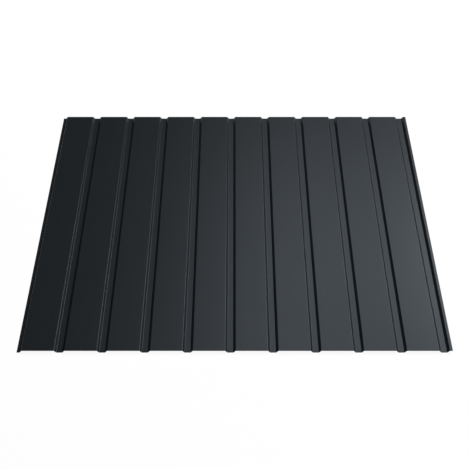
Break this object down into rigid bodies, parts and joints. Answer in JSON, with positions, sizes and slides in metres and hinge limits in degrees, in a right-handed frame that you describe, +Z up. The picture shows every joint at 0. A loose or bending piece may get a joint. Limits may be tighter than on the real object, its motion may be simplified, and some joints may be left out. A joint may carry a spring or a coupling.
{
  "type": "trapezoidal metal sheet",
  "caption": "Flat steel cladding sheet with wide raised pans and narrow pressed grooves, dark grey coating, and a low and a high edge flange for lapping, for walls and fences.",
  "frame": {"origin": "centre of the sheet's outline, on the plane under the groove floors that it rests on", "axes": "+X across the grooves, towards the high edge flange; +Y along the grooves; +Z up, out of the painted side"},
  "size_m": [1.172, 1, 0.008],
  "materials": {
    "coated_steel": "semi-matt anthracite grey coil coating"
  },
  "bodies": {
    "root": {"profiled_sheet": "coated_steel"}
  },
  "joints": []
}
